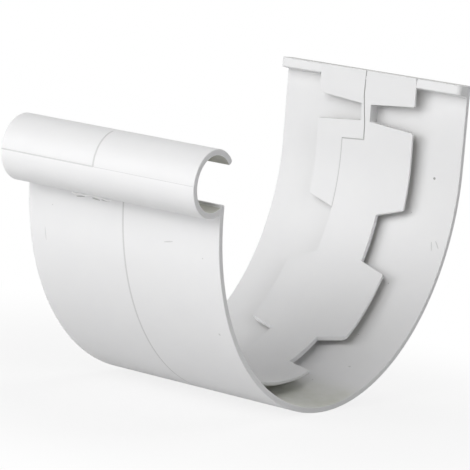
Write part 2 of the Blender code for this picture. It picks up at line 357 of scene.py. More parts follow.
def half_notch(half):
    """Length along the arc of a half notch that is cut square to the strip at its middle."""
    return STRIP_INNER * math.atan(half / STRIP_INNER)


print("notches at", [round(notch[0], 2) for notch in [TOP_NOTCH] + WIDE_NOTCHES], "along the strip")

# %% Outline of the flat strip


def side_of_strip():
    """Corners down one side of the flat strip, from the top, as (x, y, free corner or not)."""
    corners = [(STRIP_HALF, distance_at_height(BACK_HEIGHT) + TOP_SPARE, False)]
    for middle, inner, outer in [TOP_NOTCH] + WIDE_NOTCHES:
        neck = TOP_NECK_HALF
        if middle < 0.0:
            neck, inner, outer = NECK_HALF, half_notch(inner), half_notch(outer)
        corners += [(STRIP_HALF, middle + outer, True), (neck, middle + inner, False),
                    (neck, middle - inner, False), (STRIP_HALF, middle - outer, True)]
    corners.append((STRIP_HALF, math.radians(STRIP_END_ANGLE) * STRIP_INNER, False))
    return corners


def draw_strip(work):
    """Fill the outline of the flat strip and round the free corners of its tabs."""
    right = side_of_strip()
    corners = right + [(-x, y, free) for x, y, free in reversed(right)]
    points = [bmesh.ops.create_vert(work, co=(*corners[0][:2], 0.0))["vert"][0]]
    for x, y, _ in corners[1:]:
        points.append(pen_stroke(work, points[-1], Vector((x, y, 0.0))))
    fill_outline(work, points[0], points[-1])
    for corner in [point for point, (_, _, free) in zip(points, corners) if free]:
        round_corner(work, corner, TAB_CORNER, segments=5)


# %% Thin and round the flat strip
TAB_EDGE = 0.14
LEAD_IN = (1.6, 0.75)  # run and rise of the thinning behind the free edges
BROAD_FACE = 0.85  # least z of the normal of a broad face of the flat strip
CUT_DISTANCE = MERGE_DISTANCE / 4.0  # points this close to a cut lie in it


def cut_across(work, point, normal, clear_outer=False):
    """Cut all faces along a plane, and drop what lies beyond it where asked."""
    everything = work.verts[:] + work.edges[:] + work.faces[:]
    bmesh.ops.bisect_plane(work, geom=everything, dist=CUT_DISTANCE, plane_co=point, plane_no=normal,
                           clear_outer=clear_outer)


def thin_free_edges(work, run, rise):
    """Slope the back of a flat plate over a run along both long sides, so that they get thinner."""
    start = STRIP_HALF - run
    for side in (-1.0, 1.0):
        cut_across(work, (side * start, 0.0, 0.0), ALONG_X)
    for vertex in work.verts:
        if vertex.co.z > STRIP_WALL / 2.0 and abs(vertex.co.x) > start:
            vertex.co.z -= rise * (abs(vertex.co.x) - start) / run
    work.normal_update()


def round_rims(work, radius):
    """Round the edges all around the two broad faces of a flat plate."""
    rims = [edge for edge in work.edges
            if sorted(abs(face.normal.z) > BROAD_FACE for face in edge.link_faces) == [False, True]]
    bmesh.ops.bevel(work, geom=rims, offset=radius, segments=2, profile=0.5, material=-1,
                    affect="EDGES", clamp_overlap=True)


strip_mesh = bmesh.new()
draw_strip(strip_mesh)
push_out(strip_mesh, (0.0, 0.0, STRIP_WALL))
thin_free_edges(strip_mesh, *LEAD_IN)
round_rims(strip_mesh, TAB_EDGE)
strip = keep_as_object(strip_mesh, "flat_strip")

# %% [markdown]
# ## The witness line on the strip
#
# The photograph shows a fine dark line on the strip's face. It comes down the middle from the top,
# turns aside under the first notch and goes on in line with the edge of the neck: the place where
# two parts of the mould met. On the real part it is a groove a few tenths of a millimetre wide.
# It could be painted, but a real groove catches the light from every side, so it is carved in the
# flat strip. The cutter is drawn as one wire, pulled up into a standing ribbon and thickened by the
# solidify modifier, which keeps its width even around the corners. The last stretch, beside the
# neck, is much fainter in the photograph, so it is a ribbon of its own that cuts less deep.

# %% From modifiers to mesh


def as_bmesh(mesh):
    """A bmesh of a mesh, to work on."""
    work = bmesh.new()
    work.from_mesh(mesh)
    return work


def finished_mesh(item):
    """A new mesh of an object as it shows, with its modifiers or its curve worked out."""
    bpy.context.view_layer.update()
    shown = item.evaluated_get(bpy.context.evaluated_depsgraph_get())
    return bpy.data.meshes.new_from_object(shown)


def apply_changes(item):
    """Turn an object's modifiers into mesh."""
    changed = finished_mesh(item)
    item.modifiers.clear()
    old, item.data = item.data, changed
    bpy.data.meshes.remove(old)


def join_or_cut(item, other, operation):
    """Join another solid to an object or cut it away, and remove the other solid."""
    change = item.modifiers.new(operation.lower(), "BOOLEAN")
    change.operation, change.solver, change.material_mode = operation, "EXACT", "TRANSFER"
    change.object = other
    apply_changes(item)
    bpy.data.objects.remove(other, do_unlink=True)
    work = as_bmesh(item.data)
    say_mesh(item.name + " " + operation.lower(), work)
    work.free()


# %% Materials, still empty


def plain_material(name):
    """An empty material, whose nodes are made in a later cell."""
    material = bpy.data.materials.new(name)
    material.use_nodes = True
    return material


satin_upvc = plain_material("moulded_upvc_satin")
smooth_shaded_upvc = plain_material("moulded_upvc_smooth_shaded_bead_top")
hollow_shade_upvc = plain_material("moulded_upvc_hollow_shade")
top_shade_upvc = plain_material("moulded_upvc_top_shade")
groove_shade_and_dirt_upvc = plain_material("moulded_upvc_groove_shade_and_dirt")
seam_shade_upvc = plain_material("moulded_upvc_parting_line_shade")
flash_highlight_upvc = plain_material("moulded_upvc_flash_highlight")
slot_shade_upvc = plain_material("moulded_upvc_slot_shade")
print("materials", [material.name for material in bpy.data.materials])

# %% Groove carved in the flat strip
LINE_WIDTH = 0.34
LINE_DEPTH = 0.24
LINE_PATH = [(-0.45, 33.0), (-0.70, 29.0), (-0.88, 24.0), (-0.40, 18.5), (-0.05, 15.0),
             (0.0, 10.1), (-7.9, 9.5)]
FAINT_DEPTH = 0.07
FAINT_PATH = [(-7.9, 9.6), (-8.0, -12.6)]


def groove_cutter(path, depth, material):
    """A thin standing ribbon along a path, as deep below the strip's face as above it."""
    work = bmesh.new()
    tip = bmesh.ops.create_vert(work, co=(*path[0], -depth))["vert"][0]
    for x, y in path[1:]:
        tip = pen_stroke(work, tip, Vector((x, y, -depth)))
    wall = bmesh.ops.extrude_edge_only(work, edges=work.edges[:])
    bmesh.ops.translate(work, verts=points_in(wall["geom"]), vec=(0.0, 0.0, 2.0 * depth))
    cutter = keep_as_object(work, "groove_ribbon", material)
    thicken = cutter.modifiers.new("width", "SOLIDIFY")
    thicken.thickness, thicken.offset, thicken.use_even_offset = LINE_WIDTH, 0.0, True
    apply_changes(cutter)
    return cutter


# the groove takes the groove skin and its faint stretch the seam skin: painted shade that deepens both
# lines
for material in (satin_upvc, slot_shade_upvc):
    strip.data.materials.append(material)
join_or_cut(strip, groove_cutter(LINE_PATH, LINE_DEPTH, groove_shade_and_dirt_upvc), "DIFFERENCE")
join_or_cut(strip, groove_cutter(FAINT_PATH, FAINT_DEPTH, seam_shade_upvc), "DIFFERENCE")

# %% [markdown]
# ## Bending the strip
#
# A face bends only where it has edges, so the flat strip is first cut across every 1.2 mm with the
# bisect operator. Then each point is moved once: its distance along the strip becomes an angle
# around the half round, or a distance up the leaning back. Last, the top is cut off level with the
# flange. Bending turns the faces inside out, so their normals are worked out again. The back of the
# strip gets a skin of its own, a dark grey of painted shade that makes the slot nearly black beside
# the tabs, except near the bottom.

# %% Where each point goes


def bent(point):
    """Where a point of the flat strip lies in the finished part."""
    bend = math.radians(STRIP_LEAN) * STRIP_INNER
    turn = min(point.y, bend) / STRIP_INNER
    rise = max(0.0, point.y - bend)
    out = STRIP_INNER + point.z
    level, upright = math.cos(turn), math.sin(turn)
    return place(point.x, out * level - rise * upright, out * upright + rise * level)


def cut_level(work, height):
    """Cut off what stands above a height and close the cut."""
    cut_across(work, place(0.0, 0.0, height), ALONG_Z, clear_outer=True)
    rim = [edge for edge in work.edges if edge.is_boundary]
    bmesh.ops.holes_fill(work, edges=rim, sides=0)


# %% Bend the strip to the sleeve
BEND_STEP = 1.2
SLOT_SHADE_END = -55.0  # distance along the strip where the painted shade behind it ends

strip_skins = (satin_upvc, slot_shade_upvc, groove_shade_and_dirt_upvc, seam_shade_upvc)
strip_mesh = as_bmesh(strip.data)
lowest = min(vertex.co.y for vertex in strip_mesh.verts)
highest = max(vertex.co.y for vertex in strip_mesh.verts)
for index in range(1, math.ceil((highest - lowest) / BEND_STEP)):
    cut_across(strip_mesh, (0.0, lowest + BEND_STEP * index, 0.0), ALONG_Y)
# the back faces take the slot skin: painted shade in the slot behind the tabs, ending near the bottom
for face in strip_mesh.faces:
    if face.normal.z > BROAD_FACE and face.calc_center_median().y > SLOT_SHADE_END:
        face.material_index = strip_skins.index(slot_shade_upvc)
for vertex in strip_mesh.verts:
    vertex.co = bent(vertex.co)
cut_level(strip_mesh, BACK_HEIGHT)
bmesh.ops.recalc_face_normals(strip_mesh, faces=strip_mesh.faces)
bpy.data.objects.remove(strip, do_unlink=True)
strip = keep_as_object(strip_mesh, "bent_strip", *strip_skins)

# %% [markdown]
# ## The web, and one solid
#
# Between the strip and the wall stands a web in the middle of the length. Each gutter end is pushed
# in until it meets this web. It is a band with one face inside the strip and one inside the wall,
# so that the three solids overlap well when they are joined. A Boolean union makes one skin of
# them, as on the real moulding, where three loose meshes would leave hidden faces inside.

# %% Web, and the union of the three solids


def draw_web(work):
    """Fill the outline of the web, between the middle of the strip and the middle of the wall."""
    inner, outer = STRIP_INNER + STRIP_WALL / 2.0, INNER_RADIUS + WALL / 2.0
    top = BACK_HEIGHT - FLANGE_NOSE / 2.0
    first = pen_down(work, -WEB_HALF, *leaning_point(outer, BACK_LEAN, top))
    tip = pen_line(work, first, *polar(MIDDLE, outer, BACK_LEAN))
    tip = pen_arc(work, tip, MIDDLE, STRIP_END_ANGLE - BACK_LEAN, SHELL_STEP)
    tip = pen_line(work, tip, *polar(MIDDLE, inner, STRIP_END_ANGLE))
    tip = pen_arc(work, tip, MIDDLE, STRIP_LEAN - STRIP_END_ANGLE, SHELL_STEP)
    last = pen_line(work, tip, *leaning_point(inner, STRIP_LEAN, top))
    fill_outline(work, first, last)


web_mesh = bmesh.new()
draw_web(web_mesh)
push_out(web_mesh, (2.0 * WEB_HALF, 0.0, 0.0))
web = keep_as_object(web_mesh, "web", satin_upvc)
moulding.data.materials.append(satin_upvc)
join_or_cut(moulding, web, "UNION")
join_or_cut(moulding, strip, "UNION")

# %% [markdown]
# ## The rounded corners of the flange
#
# Seen from above, the two ends of the flange's nose are rounded, so that the part doesn't scratch
# the roof edge or a hand. The corner is cut with what is missing there: a block that stands on end,
# with a quarter circle drawn by spinning a point about the upright axis.

# %% Cut the corners of the flange
CORNER_RADIUS = 1.7
CORNER_STEPS = 6
CUTTER_SPARE = 1.0


def corner_cutter(side):
    """The block outside the rounded corner at one end of the flange, 1 for the near end."""
    work = bmesh.new()
    front = leaning_point(OUTER_RADIUS, BACK_LEAN, BACK_HEIGHT)[0] - FLANGE_DEPTH
    low = BACK_HEIGHT - FLANGE_ROOT - CUTTER_SPARE
    first = pen_down(work, HALF_LENGTH, front + CORNER_RADIUS, low)
    centre = place(HALF_LENGTH - CORNER_RADIUS, front + CORNER_RADIUS, low)
    arc = bmesh.ops.spin(work, geom=[first], cent=centre, axis=ALONG_Z, angle=math.radians(-90.0),
                         steps=CORNER_STEPS)
    tip = pen_line(work, points_in(arc["geom_last"])[0], front - CUTTER_SPARE, low)
    tip = pen_stroke(work, tip, place(HALF_LENGTH + CUTTER_SPARE, front - CUTTER_SPARE, low))
    tip = pen_line(work, tip, front + CORNER_RADIUS, low)
    fill_outline(work, first, tip)
    push_out(work, (0.0, 0.0, FLANGE_ROOT + 2.0 * CUTTER_SPARE))
    bmesh.ops.scale(work, verts=work.verts, vec=(side, 1.0, 1.0))
    bmesh.ops.recalc_face_normals(work, faces=work.faces)
    return keep_as_object(work, "corner_block", satin_upvc)


for side in (1.0, -1.0):
    join_or_cut(moulding, corner_cutter(side), "DIFFERENCE")

# %% [markdown]
# ## The lines where the mould parted
#
# A two-part mould leaves a fine line where its halves meet. The photograph shows three on the
# outside: one around the wall beside the middle, one over the bead on the other side of the middle,
# and one along the front of the bead, which is nearly gone towards the near end. A raised line would
# stand out of the CAD part's box, and the real ones read as dark, so each is a shallow groove. A rod
# with a diamond section follows the surface, and a Boolean difference leaves a V behind. The rod's
# widest line stands a little clear of the surface: if it lay right in it, the two skins would graze
# each other and the cut would tear.

# %% Rods with a diamond section
FRONT_LINE_ANGLE = 183.7
ROD_LIFT = 0.03


def diamond(work, x, centre, radius, degrees, half, depth, around):
    """A filled diamond that cuts a V of a half width and depth, around a circle or along x."""
    axes = Matrix.Rotation(math.radians(degrees), 4, "X")
    if not around:
        axes = axes @ Matrix.Rotation(math.radians(90.0), 4, "Y")
    reach = depth + ROD_LIFT
    shape = Matrix.Diagonal((half * reach / depth, reach, 1.0, 1.0))
    middle = Matrix.Translation(place(x, *polar(centre, radius + ROD_LIFT, degrees)))
    bmesh.ops.create_circle(work, cap_ends=True, segments=4, radius=1.0, matrix=middle @ axes @ shape)


def rod_around(line, centre, radius, first, last, straight, step):
    """A rod around a circle, which may run on straight from its end."""
    work = bmesh.new()
    x, half, depth = line
    diamond(work, x, centre, radius, first, half, depth, True)
    swept = bmesh.ops.spin(work, geom=work.faces[:], cent=place(x, *centre), axis=ALONG_X,
                           angle=math.radians(last - first), steps=round((last - first) / step))
    if straight:
        end = [item for item in swept["geom_last"] if isinstance(item, bmesh.types.BMFace)]
        turn = math.radians(last)
        push_out(work, (0.0, -straight * math.sin(turn), straight * math.cos(turn)), faces=end)
        bmesh.ops.delete(work, geom=end, context="FACES_ONLY")
    bmesh.ops.recalc_face_normals(work, faces=work.faces)
    return keep_as_object(work, "parting_rod", seam_shade_upvc)


def rod_along(first_x, last_x, line):
    """A rod along the front of the bead."""
    work = bmesh.new()
    diamond(work, first_x, BEAD_CENTRE, BEAD_RADIUS, FRONT_LINE_ANGLE, *line, False)
    push_out(work, (last_x - first_x, 0.0, 0.0))
    return keep_as_object(work, "parting_rod", seam_shade_upvc)


# %% Carve the parting lines
# each rod hands its skin to the V it cuts: painted shade that darkens each parting line
WALL_LINE = (0.48, 0.27, 0.08)  # place along the gutter, half width, depth
BEAD_LINE = (-0.70, 0.28, 0.21)  # the same
FRONT_LINE = (0.21, 0.10)  # half width and depth
FAINT_FRONT_LINE = (0.07, 0.03)  # the same
BEAD_LINE_START = 104.0
WALL_LINE_STEP = 0.75  # finer than the wall's flats, so that no facets coincide
BEAD_LINE_STEP = 3.0
ROD_SPARE = 1.0
LINE_OVERLAP = 0.1

crease_angle = wall_angle(polar(BEAD_CENTRE, BEAD_RADIUS, crossing_angle(BEAD_RADIUS)))
back_length = BACK_HEIGHT / math.cos(math.radians(BACK_LEAN))
parting_rods = (
    rod_around(WALL_LINE, MIDDLE, OUTER_RADIUS, crease_angle, BACK_LEAN, back_length, WALL_LINE_STEP),
    rod_around(BEAD_LINE, BEAD_CENTRE, BEAD_RADIUS, BEAD_LINE_START, FRONT_LINE_ANGLE, 0.0,
               BEAD_LINE_STEP),
    rod_along(-HALF_LENGTH - ROD_SPARE, BEAD_LINE[0], FRONT_LINE),
    rod_along(BEAD_LINE[0] - LINE_OVERLAP, HALF_LENGTH + ROD_SPARE, FAINT_FRONT_LINE),
)
for rod in parting_rods:
    join_or_cut(moulding, rod, "DIFFERENCE")

# %% [markdown]
# ## Flash in the crease, and marks of handling
#
# Where the front half of the mould closed under the bead, a little plastic was squeezed out and left
# a thin wavy ridge on the wall, just under the crease. A curve with a round bevel is the quickest
# way to make such a thread, and a union melts it into the wall. The thread is painted paler than
# the wall, a painted highlight that lifts it out of the bead's shade, and three short hollows under
# it carry its painted shadow.
# The photographed part also has small marks: a dark speck and two scuffs inside near the end, two
# scratches outside, and a few faint dents. Each hollow or mark is a ball squashed to a lens,
# laid on the surface at its place and cut away.

# %% Thread of flash
FLASH_FROM, FLASH_TO = -17.2, -3.4
FLASH_ANGLE = -173.4
FLASH_SWAY = 0.20
FLASH_WAVES = ((9.0, 1.0), (23.0, 0.6))  # radians over the whole thread, and share of the sway
FLASH_POINTS = 24
FLASH_RADIUS = 0.26


def flash_thread():
    """A thin wavy thread of plastic that lies half sunk on the front wall under the bead."""
    curve = bpy.data.curves.new("flash_thread", "CURVE")
    curve.dimensions, curve.use_fill_caps = "3D", True
    curve.bevel_depth, curve.bevel_resolution = FLASH_RADIUS, 1
    spline = curve.splines.new("POLY")
    spline.points.add(FLASH_POINTS - 1)
    for index, point in enumerate(spline.points):
        share = index / (FLASH_POINTS - 1)
        sway = FLASH_SWAY * sum(size * math.sin(wave * share) for wave, size in FLASH_WAVES)
        angle = FLASH_ANGLE + math.degrees(sway / OUTER_RADIUS)
        x = FLASH_FROM + share * (FLASH_TO - FLASH_FROM)
        point.co = (*place(x, *polar(MIDDLE, OUTER_RADIUS, angle)), 1.0)
    drawn = add_object("flash_curve", curve)
    work = as_bmesh(finished_mesh(drawn))
    bmesh.ops.remove_doubles(work, verts=work.verts, dist=MERGE_DISTANCE)
    bmesh.ops.recalc_face_normals(work, faces=work.faces)
    bpy.data.objects.remove(drawn, do_unlink=True)
    return keep_as_object(work, "flash_thread", flash_highlight_upvc)


join_or_cut(moulding, flash_thread(), "UNION")

# %% Dents, scratches and specks
# the marks with the seam skin and the three hollows under the flash get painted shade; the first mark
# is a dark speck of dirt
# each mark: place along the gutter, radius, degrees, size along, into and around, turn, skin
MARKS = [
    (23.85, INNER_RADIUS, 1.6, (0.84, 0.50, 0.84), 0.0, groove_shade_and_dirt_upvc),
    (27.62, INNER_RADIUS, -17.3, (0.36, 0.10, 3.3), -17.9, seam_shade_upvc),
    (29.30, INNER_RADIUS, -16.6, (0.36, 0.07, 3.2), -36.7, seam_shade_upvc),
    (22.33, INNER_RADIUS, -61.6, (0.85, 0.10, 0.50), 0.0, seam_shade_upvc),
    (16.41, INNER_RADIUS, -71.8, (0.45, 0.08, 0.45), 0.0, seam_shade_upvc),
    (17.91, INNER_RADIUS, -9.0, (0.45, 0.08, 0.45), 0.0, seam_shade_upvc),
    (17.79, INNER_RADIUS, -30.4, (0.40, 0.07, 0.60), 0.0, seam_shade_upvc),
    (17.14, INNER_RADIUS, -48.7, (0.45, 0.07, 0.45), 0.0, seam_shade_upvc),
    (15.80, OUTER_RADIUS, -166.1, (3.20, 0.07, 0.34), 11.8, seam_shade_upvc),
    (28.37, OUTER_RADIUS, -142.5, (0.60, 0.08, 0.80), 30.0, seam_shade_upvc),
    (-26.95, OUTER_RADIUS, -161.2, (0.20, 0.08, 5.20), 0.0, seam_shade_upvc),
    (26.96, OUTER_RADIUS, -163.7, (0.45, 0.06, 0.40), 0.0, seam_shade_upvc),
    (-23.99, OUTER_RADIUS, -169.2, (0.40, 0.06, 0.30), 0.0, seam_shade_upvc),
    (-14.20, OUTER_RADIUS, -172.8, (3.20, 0.14, 0.36), 8.0, groove_shade_and_dirt_upvc),
    (-8.90, OUTER_RADIUS, -172.9, (3.00, 0.14, 0.36), -5.0, groove_shade_and_dirt_upvc),
    (-5.60, OUTER_RADIUS, -173.0, (3.00, 0.16, 0.40), 0.0, groove_shade_and_dirt_upvc),
]


def dent(x, radius, degrees, size, turn, material):
    """A squashed ball on the wall: its size along the gutter, into the wall and around it."""
    work = bmesh.new()
    axes = Matrix.Rotation(math.radians(degrees), 4, "X") @ Matrix.Rotation(math.radians(turn), 4, "Y")
    stretch = Matrix.Diagonal((size[0] / 2.0, size[1], size[2] / 2.0, 1.0))
    middle = Matrix.Translation(place(x, *polar(MIDDLE, radius, degrees)))
    bmesh.ops.create_icosphere(work, subdivisions=2, radius=1.0, matrix=middle @ axes @ stretch)
    return keep_as_object(work, "dent", material)


for mark in MARKS:
    join_or_cut(moulding, dent(*mark), "DIFFERENCE")

# %% [markdown]
# ## Smooth where it is smooth
#
# A moulding has no facets, so all faces are shaded smooth and only true edges stay sharp. On a mesh
# with wide flats beside tiny roundings, plain smooth shading pulls shadows into the flats. The
# weighted normal modifier lets the large faces decide, which keeps flats flat and roundings round.

# %% Shading and normals
SHARP_FROM = math.radians(38.0)
CLEAN_DISTANCE = MERGE_DISTANCE / 2.0
MM3_IN_CM3 = 1000.0


def clean_and_shade(item):
    """Merge doubled points, drop loose edges, scale to metres, and shade by weighted normals."""
    work = as_bmesh(item.data)
    bmesh.ops.remove_doubles(work, verts=work.verts, dist=CLEAN_DISTANCE)
    bmesh.ops.dissolve_degenerate(work, edges=work.edges, dist=CLEAN_DISTANCE)
    loose = [edge for edge in work.edges if not edge.link_faces]
    bmesh.ops.delete(work, geom=loose, context="EDGES")
    bmesh.ops.recalc_face_normals(work, faces=work.faces)
    say_mesh(item.name + " cleaned", work)
    print(item.name, round(work.calc_volume() / MM3_IN_CM3, 2), "cm3")
    bmesh.ops.scale(work, verts=work.verts, vec=[TO_METRES] * 3)
    work.to_mesh(item.data)
    work.free()
    item.data.shade_smooth()
    item.data.set_sharp_from_angle(angle=SHARP_FROM)
    weighted = item.modifiers.new("weighted", "WEIGHTED_NORMAL")
    weighted.keep_sharp = True
    apply_changes(item)


clean_and_shade(moulding)

# %% [markdown]
# ## White moulded uPVC
#
# The part is white unplasticised PVC, injection moulded. The steel of the mould is finely blasted,
# so the skin is satin: highlights are wide and soft, and there is no colour in them. The melt flows
# unevenly, which gives a very faint mottling some millimetres wide, and the blasting gives a grain
# of about a third of a millimetre. Both are noise textures on Object coordinates, with scales
# worked out from those sizes. All skins are the same plastic and come from one function, which also
# makes what faces up low in the trough a little greyer. What tells them apart is how the steel was
# finished there, a speck of dirt, and the shade and highlight painted into their colour.

# %% Colours and nodes
SATIN_WHITE = ("ECECEC", "E9E9EA")
# a white a little darker than the satin one: painted shade that tones down the highlight on the top of
# the bead
BEAD_TOP_SHADE_WHITE = ("E8E8E8", "E5E5E6")
# a greyer, slightly yellow white: painted shade in the hollow of the bead
HOLLOW_SHADE_WHITE = ("CECEC6", "C6C6BE")
# a darker grey on the flange's top: painted shade that reads as a fine dark line seen edge on
TOP_SHADE_GREY = ("CCCCC9", "C2C2BF")
# a dark grey: painted shade in the grooves and hollows, and the colour of a dirt speck
GROOVE_SHADE_AND_DIRT_GREY = ("C4C4C3", "BCBCBB")
# a light grey: painted shade in the shallow Vs of the parting lines and in the marks
SEAM_SHADE_GREY = ("D3D3D3", "CFCFCF")
# a paler white: painted highlight on the flash thread, which lies in the bead's shade
FLASH_HIGHLIGHT_WHITE = ("FCFCFC", "F8F8F8")
# a dark, slightly yellow grey: painted shade in the slot behind the tabs
SLOT_SHADE_GREY = ("A3A198", "9D9B91")
TINT_COLOUR = "D0D1C6"
UPVC_IOR = 1.53


def linear(hex_colour):
    """A linear colour with alpha from an sRGB hex value."""
    values = [int(hex_colour[at:at + 2], 16) / 255.0 for at in (0, 2, 4)]
    light = [value / 12.92 if value <= 0.04045 else ((value + 0.055) / 1.055) ** 2.4
             for value in values]
    return (*light, 1.0)


def add_node(material, kind, settings, links):
    """Add a node, set its values by name, and link its inputs to (node, output) pairs."""
    tree = material.node_tree
    node = tree.nodes.new(kind)
    for name, value in settings.items():
        if isinstance(name, str) and hasattr(node, name):
            setattr(node, name, value)
        else:
            node.inputs[name].default_value = value
    for name, (source, output) in links.items():
        tree.links.new(source.outputs[output], node.inputs[name])
    return node


print("white", [round(value, 3) for value in linear(SATIN_WHITE[0])])

# %% Greyer tone low down
TINT_PATCH = 5.0
TINT_FROM, TINT_TO = 6.5, 1.7  # height where the greyer tone starts, and where it is strongest
UPWARD_FROM, UPWARD_TO = 0.2, 0.9  # z of the normal where it starts, and where it holds fully
PATCH_FROM, PATCH_TO = 0.3, 0.7  # noise between its thin and its thick patches
PATCH_THIN = 0.6  # how much of the tone a thin patch has


def low_upward_tint(material, where):
    """A greyer tone on what faces up, low down in the trough, in soft patches."""
    geometry = add_node(material, "ShaderNodeNewGeometry", {}, {})
    facing = add_node(material, "ShaderNodeSeparateXYZ", {}, {"Vector": (geometry, "Normal")})
    upward = add_node(material, "ShaderNodeMapRange",
                      {"From Min": UPWARD_FROM, "From Max": UPWARD_TO}, {"Value": (facing, "Z")})
    height = add_node(material, "ShaderNodeSeparateXYZ", {}, {"Vector": (where, "Object")})
    low = add_node(material, "ShaderNodeMapRange",
                   {"interpolation_type": "SMOOTHSTEP", "From Min": TINT_FROM * TO_METRES,
                    "From Max": TINT_TO * TO_METRES}, {"Value": (height, "Z")})
    patches = add_node(material, "ShaderNodeTexNoise",
                       {"Scale": 1.0 / (TINT_PATCH * TO_METRES), "Detail": 4.0},
                       {"Vector": (where, "Object")})
    uneven = add_node(material, "ShaderNodeMapRange",
                      {"From Min": PATCH_FROM, "From Max": PATCH_TO, "To Min": PATCH_THIN},
                      {"Value": (patches, "Fac")})
    low_and_up = add_node(material, "ShaderNodeMath", {"operation": "MULTIPLY"},
                          {0: (upward, "Result"), 1: (low, "Result")})
    return add_node(material, "ShaderNodeMath", {"operation": "MULTIPLY"},
                    {0: (low_and_up, "Value"), 1: (uneven, "Result")})


# %% Moulded uPVC
MOTTLE_SIZE = 9.0
GRAIN_SIZE = 0.35
GRAIN_HEIGHT = 0.02
MIX_FACTOR, MIX_A, MIX_B, MIX_RESULT = 0, 6, 7, 2  # the Mix node's sockets for colours


def finish_upvc(material, roughness, grain, tones):
    """Moulded uPVC: a faint mottling of two tones, a greyer tone low down on what faces up, and the
    grain of the mould.
    """
    material.node_tree.nodes.clear()
    where = add_node(material, "ShaderNodeTexCoord", {}, {})
    mottle = add_node(material, "ShaderNodeTexNoise",
                      {"Scale": 1.0 / (MOTTLE_SIZE * TO_METRES), "Detail": 2.0},
                      {"Vector": (where, "Object")})
    clean = add_node(material, "ShaderNodeMix",
                     {"data_type": "RGBA", MIX_A: linear(tones[0]), MIX_B: linear(tones[1])},
                     {MIX_FACTOR: (mottle, "Fac")})
    low_tint = low_upward_tint(material, where)
    colour = add_node(material, "ShaderNodeMix", {"data_type": "RGBA", MIX_B: linear(TINT_COLOUR)},
                      {MIX_FACTOR: (low_tint, "Value"), MIX_A: (clean, MIX_RESULT)})
    grit = add_node(material, "ShaderNodeTexNoise",
                    {"Scale": 1.0 / (GRAIN_SIZE * TO_METRES), "Detail": 1.0},
                    {"Vector": (where, "Object")})
    bump = add_node(material, "ShaderNodeBump",
                    {"Strength": grain, "Distance": GRAIN_HEIGHT * TO_METRES},
                    {"Height": (grit, "Fac")})
    skin = add_node(material, "ShaderNodeBsdfPrincipled", {"Roughness": roughness, "IOR": UPVC_IOR},
                    {"Base Color": (colour, MIX_RESULT), "Normal": (bump, "Normal")})
    add_node(material, "ShaderNodeOutputMaterial", {}, {"Surface": (skin, "BSDF")})
    print(material.name, len(material.node_tree.nodes), "nodes")


# %% The skins of the moulding
# each skin: material, roughness, strength of the grain, its two tones
SKINS = [
    # from blasted steel: soft wide highlights without any colour
    (satin_upvc, 0.55, 0.25, SATIN_WHITE),
    # finer grain from smoother steel, and a white a little darker than the satin: painted shade that
    # tones down the highlight on the top of the bead
    (smooth_shaded_upvc, 0.56, 0.12, BEAD_TOP_SHADE_WHITE),
    # painted shade inside the bead: a greyer, slightly yellow white
    (hollow_shade_upvc, 0.55, 0.25, HOLLOW_SHADE_WHITE),
    # painted shade on the flange's top: seen edge on, it reads as a fine dark line
    (top_shade_upvc, 0.60, 0.25, TOP_SHADE_GREY),
    # painted shade in the strip's groove and the hollows under the flash, and a dark speck of dirt:
    # dull, and clearly darker than the face
    (groove_shade_and_dirt_upvc, 0.70, 0.25, GROOVE_SHADE_AND_DIRT_GREY),
    # painted shade in the parting lines and the shallow marks: only a little darker than the wall
    (seam_shade_upvc, 0.60, 0.25, SEAM_SHADE_GREY),
    # painted highlight on the flash thread: paler than the wall behind it, lifting it out of the
    # bead's shade
    (flash_highlight_upvc, 0.55, 0.12, FLASH_HIGHLIGHT_WHITE),
    # painted shade behind the tabs: dull and dark, so that the slot reads as deep shade
    (slot_shade_upvc, 0.70, 0.25, SLOT_SHADE_GREY),
]
for skin in SKINS:
    finish_upvc(*skin)

# %% [markdown]
# ## Where each skin lies
#
# Above the line along its front, the bead comes from the other half of the mould: its grain is finer,
# and its white a little darker, painted shade that tones down its highlight. Inside the bead the wall
# is greyer, painted shade in the hollow, and the top of the flange is a darker grey, painted shade
# that makes it read as a thin dark line. The faces of the
# bead are found by their distance from its centre and their angle about it, and those of the top by
# their height. The grooves, the marks, the thread and the back of the strip need no search: the
# Booleans have handed them the skins of the solids that made them.

# %% Give the faces their skins
SURFACE_DEPTH = 0.2  # how far from its surface a face may lie and belong to it
FACES_UP = 0.9  # least z of the normal of a face of the flange's top
FACES_ALONG = 0.5  # least x of the normal of a face of the ends
TIP_MARGIN = 6.0  # degrees of the rounded tip, which keeps the satin white
POCKET_START = 240.0  # degrees about the bead from which the lip may lie


def about_bead(point):
    """Distance from the bead's centre, and angle about it from 0 to 360, of a point of the mesh."""
    from_centre = point / TO_METRES - CENTRE
    across, up = from_centre.y - BEAD_CENTRE[0], from_centre.z - BEAD_CENTRE[1]
    return math.hypot(across, up), math.degrees(math.atan2(up, across)) % 360.0


def skin_of(face):
    """The skin of a face where it isn't the satin one, or None."""
    distance, turn = about_bead(face.center)
    across, height = face.center.y / TO_METRES, face.center.z / TO_METRES
    if face.normal.z > FACES_UP and height > CENTRE.z + BACK_HEIGHT - SURFACE_DEPTH:
        return top_shade_upvc
    if distance > BEAD_RADIUS + SURFACE_DEPTH or abs(face.normal.x) > FACES_ALONG:
        return None
    if distance > BEAD_RADIUS - SURFACE_DEPTH:
        return smooth_shaded_upvc if BEAD_TIP_ANGLE < turn < FRONT_LINE_ANGLE else None
    on_lip = turn > POCKET_START and across > CENTRE.y - OUTER_RADIUS - SURFACE_DEPTH
    return hollow_shade_upvc if turn > BEAD_TIP_ANGLE + TIP_MARGIN and not on_lip else None


